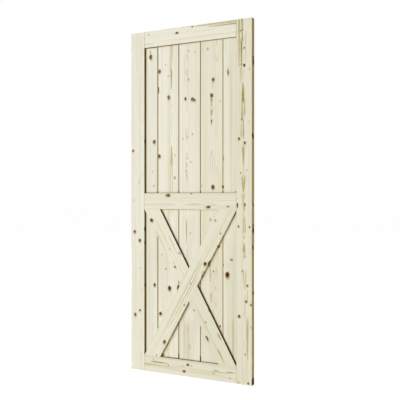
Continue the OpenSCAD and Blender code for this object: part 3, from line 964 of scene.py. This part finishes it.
lower_brace_knots = [
    (123, 245, 10, 1.6, 0.8), (37, 408, 6, 1.2, 0.22), (115, 343, 5, 1.1, 0.3), (147, 416, 9, 1.4, 1.0),
]
lower_brace_flames = [
    (243, 110, 6, 100, 0.9, 0), (223, 238, 8, 60, 0.8, 0), (79, 482, 4, 160, 0.25, 0),
    (236, 107, 4, 420, 0.35, 0),
]
dress_board("lower_brace", falling, seed=19.2, pith=(0.02, 0.07), early=srgb(228, 225, 206),
            knots=lower_brace_knots, flames=lower_brace_flames, shade=1.0)

# %% [markdown]
# ## Dowels and screws
# The dowels are turned from beech and sit hidden in the frame joints. The screws that hold the middle rail
# and the braces show their heads on the back of the door: zinc plated, with a mottled, slightly warm sheen.

# %% Dress the dowels
BEECH_EARLY = srgb(214, 178, 132)
BEECH_LATE = srgb(190, 148, 102)
dowel_seeds = {"top_rail_dowels": 21.5, "bottom_rail_dowels": 22.5}
for node, seed in dowel_seeds.items():
    dress_board(node, LEVEL, seed=seed, pith=(0.0, 0.08), ring_mm=1.5, early=BEECH_EARLY, late=BEECH_LATE)

# %% Group and material for the zinc plate of the screws
PLATE_SCALE = (900.0, 900.0, 900.0)
PLATE_DETAIL = 4.0
PLATE_SEED = 4.0
DULL_RANGE = (0.35, 0.7)
ZINC_ROUGHNESS = (0.28, 0.5)
ZINC_PALE = srgb(206, 202, 186)
ZINC_DULL = srgb(160, 152, 128)

wiring, given, result = start_group("Zinc plate", {"Seed": 0.0}, {"Colour": WHITE, "Roughness": 0.4})
plate_place = wiring.vector("MULTIPLY", wiring.place_on_door(), PLATE_SCALE)
mottle = wiring.noise(plate_place, given["Seed"], PLATE_DETAIL).outputs[0]
wiring.feed(result["Colour"], wiring.blend(wiring.smooth(mottle, *DULL_RANGE), ZINC_PALE, ZINC_DULL))
wiring.feed(result["Roughness"], wiring.between(mottle, *ZINC_ROUGHNESS))
zinc_plate = wiring.tree

zinc, wiring, shader = new_material("screw_zinc_plate")
plate = wiring.place_group(zinc_plate, {"Seed": PLATE_SEED})
wiring.feed(shader.inputs["Base Color"], plate["Colour"])
wiring.feed(shader.inputs["Roughness"], plate["Roughness"])
shader.inputs["Metallic"].default_value = 1.0
screw_nodes = [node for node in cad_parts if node.endswith("_screws")]
give_material(screw_nodes, zinc)
print("Zinc plated:", screw_nodes)

# %% [markdown]
# ## Floor and light
# The door stands on a plain pale floor in a white studio. A broad low light, far off to the front left,
# lights the face evenly, and another, high up behind, does the same for the back and the top edge.
# A weak warm one keeps the edges that look right from going black. For the camera the floor and the
# surroundings are white, while the light that they give the door stays at a plain level.

# %% Make the floor
FLOOR_SIZE = 60.0
FLOOR_WHITE = 0.965
FLOOR_GREY = (0.7, 0.7, 0.69, 1.0)
FLOOR_SHADOW_GREY = (0.18, 0.18, 0.18, 1.0)
FLOOR_ROUGHNESS = 0.9


def seen_directly(wiring):
    """1 where the camera, a mirror or glass shows the surface, and 0 where it only gives light."""
    rays = wiring.add("ShaderNodeLightPath").outputs
    seen = wiring.math("MAXIMUM", rays["Is Camera Ray"], rays["Is Glossy Ray"])
    return wiring.math("MAXIMUM", seen, rays["Is Transmission Ray"])


floor_corners = [
    (-FLOOR_SIZE, -FLOOR_SIZE, 0), (FLOOR_SIZE, -FLOOR_SIZE, 0),
    (FLOOR_SIZE, FLOOR_SIZE, 0), (-FLOOR_SIZE, FLOOR_SIZE, 0),
]
floor_mesh = bpy.data.meshes.new("floor")
floor_mesh.from_pydata(floor_corners, [], [(0, 1, 2, 3)])
floor = bpy.data.objects.new("floor", floor_mesh)
scene.collection.objects.link(floor)
floor_material, wiring, shader = new_material("studio_floor")
shader.inputs["Roughness"].default_value = FLOOR_ROUGHNESS
shader.inputs["Specular IOR Level"].default_value = 0.0
seen = seen_directly(wiring)
wiring.feed(shader.inputs["Base Color"], wiring.blend(seen, FLOOR_GREY, FLOOR_SHADOW_GREY))
shader.inputs["Emission Color"].default_value = WHITE
wiring.feed(shader.inputs["Emission Strength"], wiring.math("MULTIPLY", seen, FLOOR_WHITE))
floor_mesh.materials.append(floor_material)
print("Floor is", 2 * FLOOR_SIZE, "m wide")

# %% Light the studio
LIGHT_AIM = Vector((0, 0, 1.0))
SURROUND = 0.14
WARM = (1.0, 0.85, 0.46)


def add_soft_light(name, place, width, height, watts, colour=(1.0, 1.0, 1.0)):
    """An oblong light that looks at the middle of the door."""
    light_data = bpy.data.lights.new(name, "AREA")
    light_data.shape = "RECTANGLE"
    light_data.size = width
    light_data.size_y = height
    light_data.energy = watts
    light_data.color = colour
    light = bpy.data.objects.new(name, light_data)
    light.location = place
    light.rotation_euler = (LIGHT_AIM - Vector(place)).to_track_quat("-Z", "Y").to_euler()
    scene.collection.objects.link(light)
    print("Light", name, "of", watts, "W at", place)


add_soft_light("key", (-7.2, -11.2, 0.7), width=5.2, height=1.2, watts=1570)
add_soft_light("fill", (4.2, -1.5, 0.6), width=1.6, height=1.0, watts=32, colour=WARM)
add_soft_light("back", (-3.0, 8.0, 6.0), width=4.0, height=2.0, watts=740)

world = bpy.data.worlds.new("studio")
world.use_nodes = True
scene.world = world
wiring = Wiring(world.node_tree)
background = world.node_tree.nodes["Background"]
background.inputs["Color"].default_value = WHITE
wiring.feed(background.inputs["Strength"], wiring.choose(seen_directly(wiring), SURROUND, 1.0))
print("Surroundings give light at", SURROUND)

# %% [markdown]
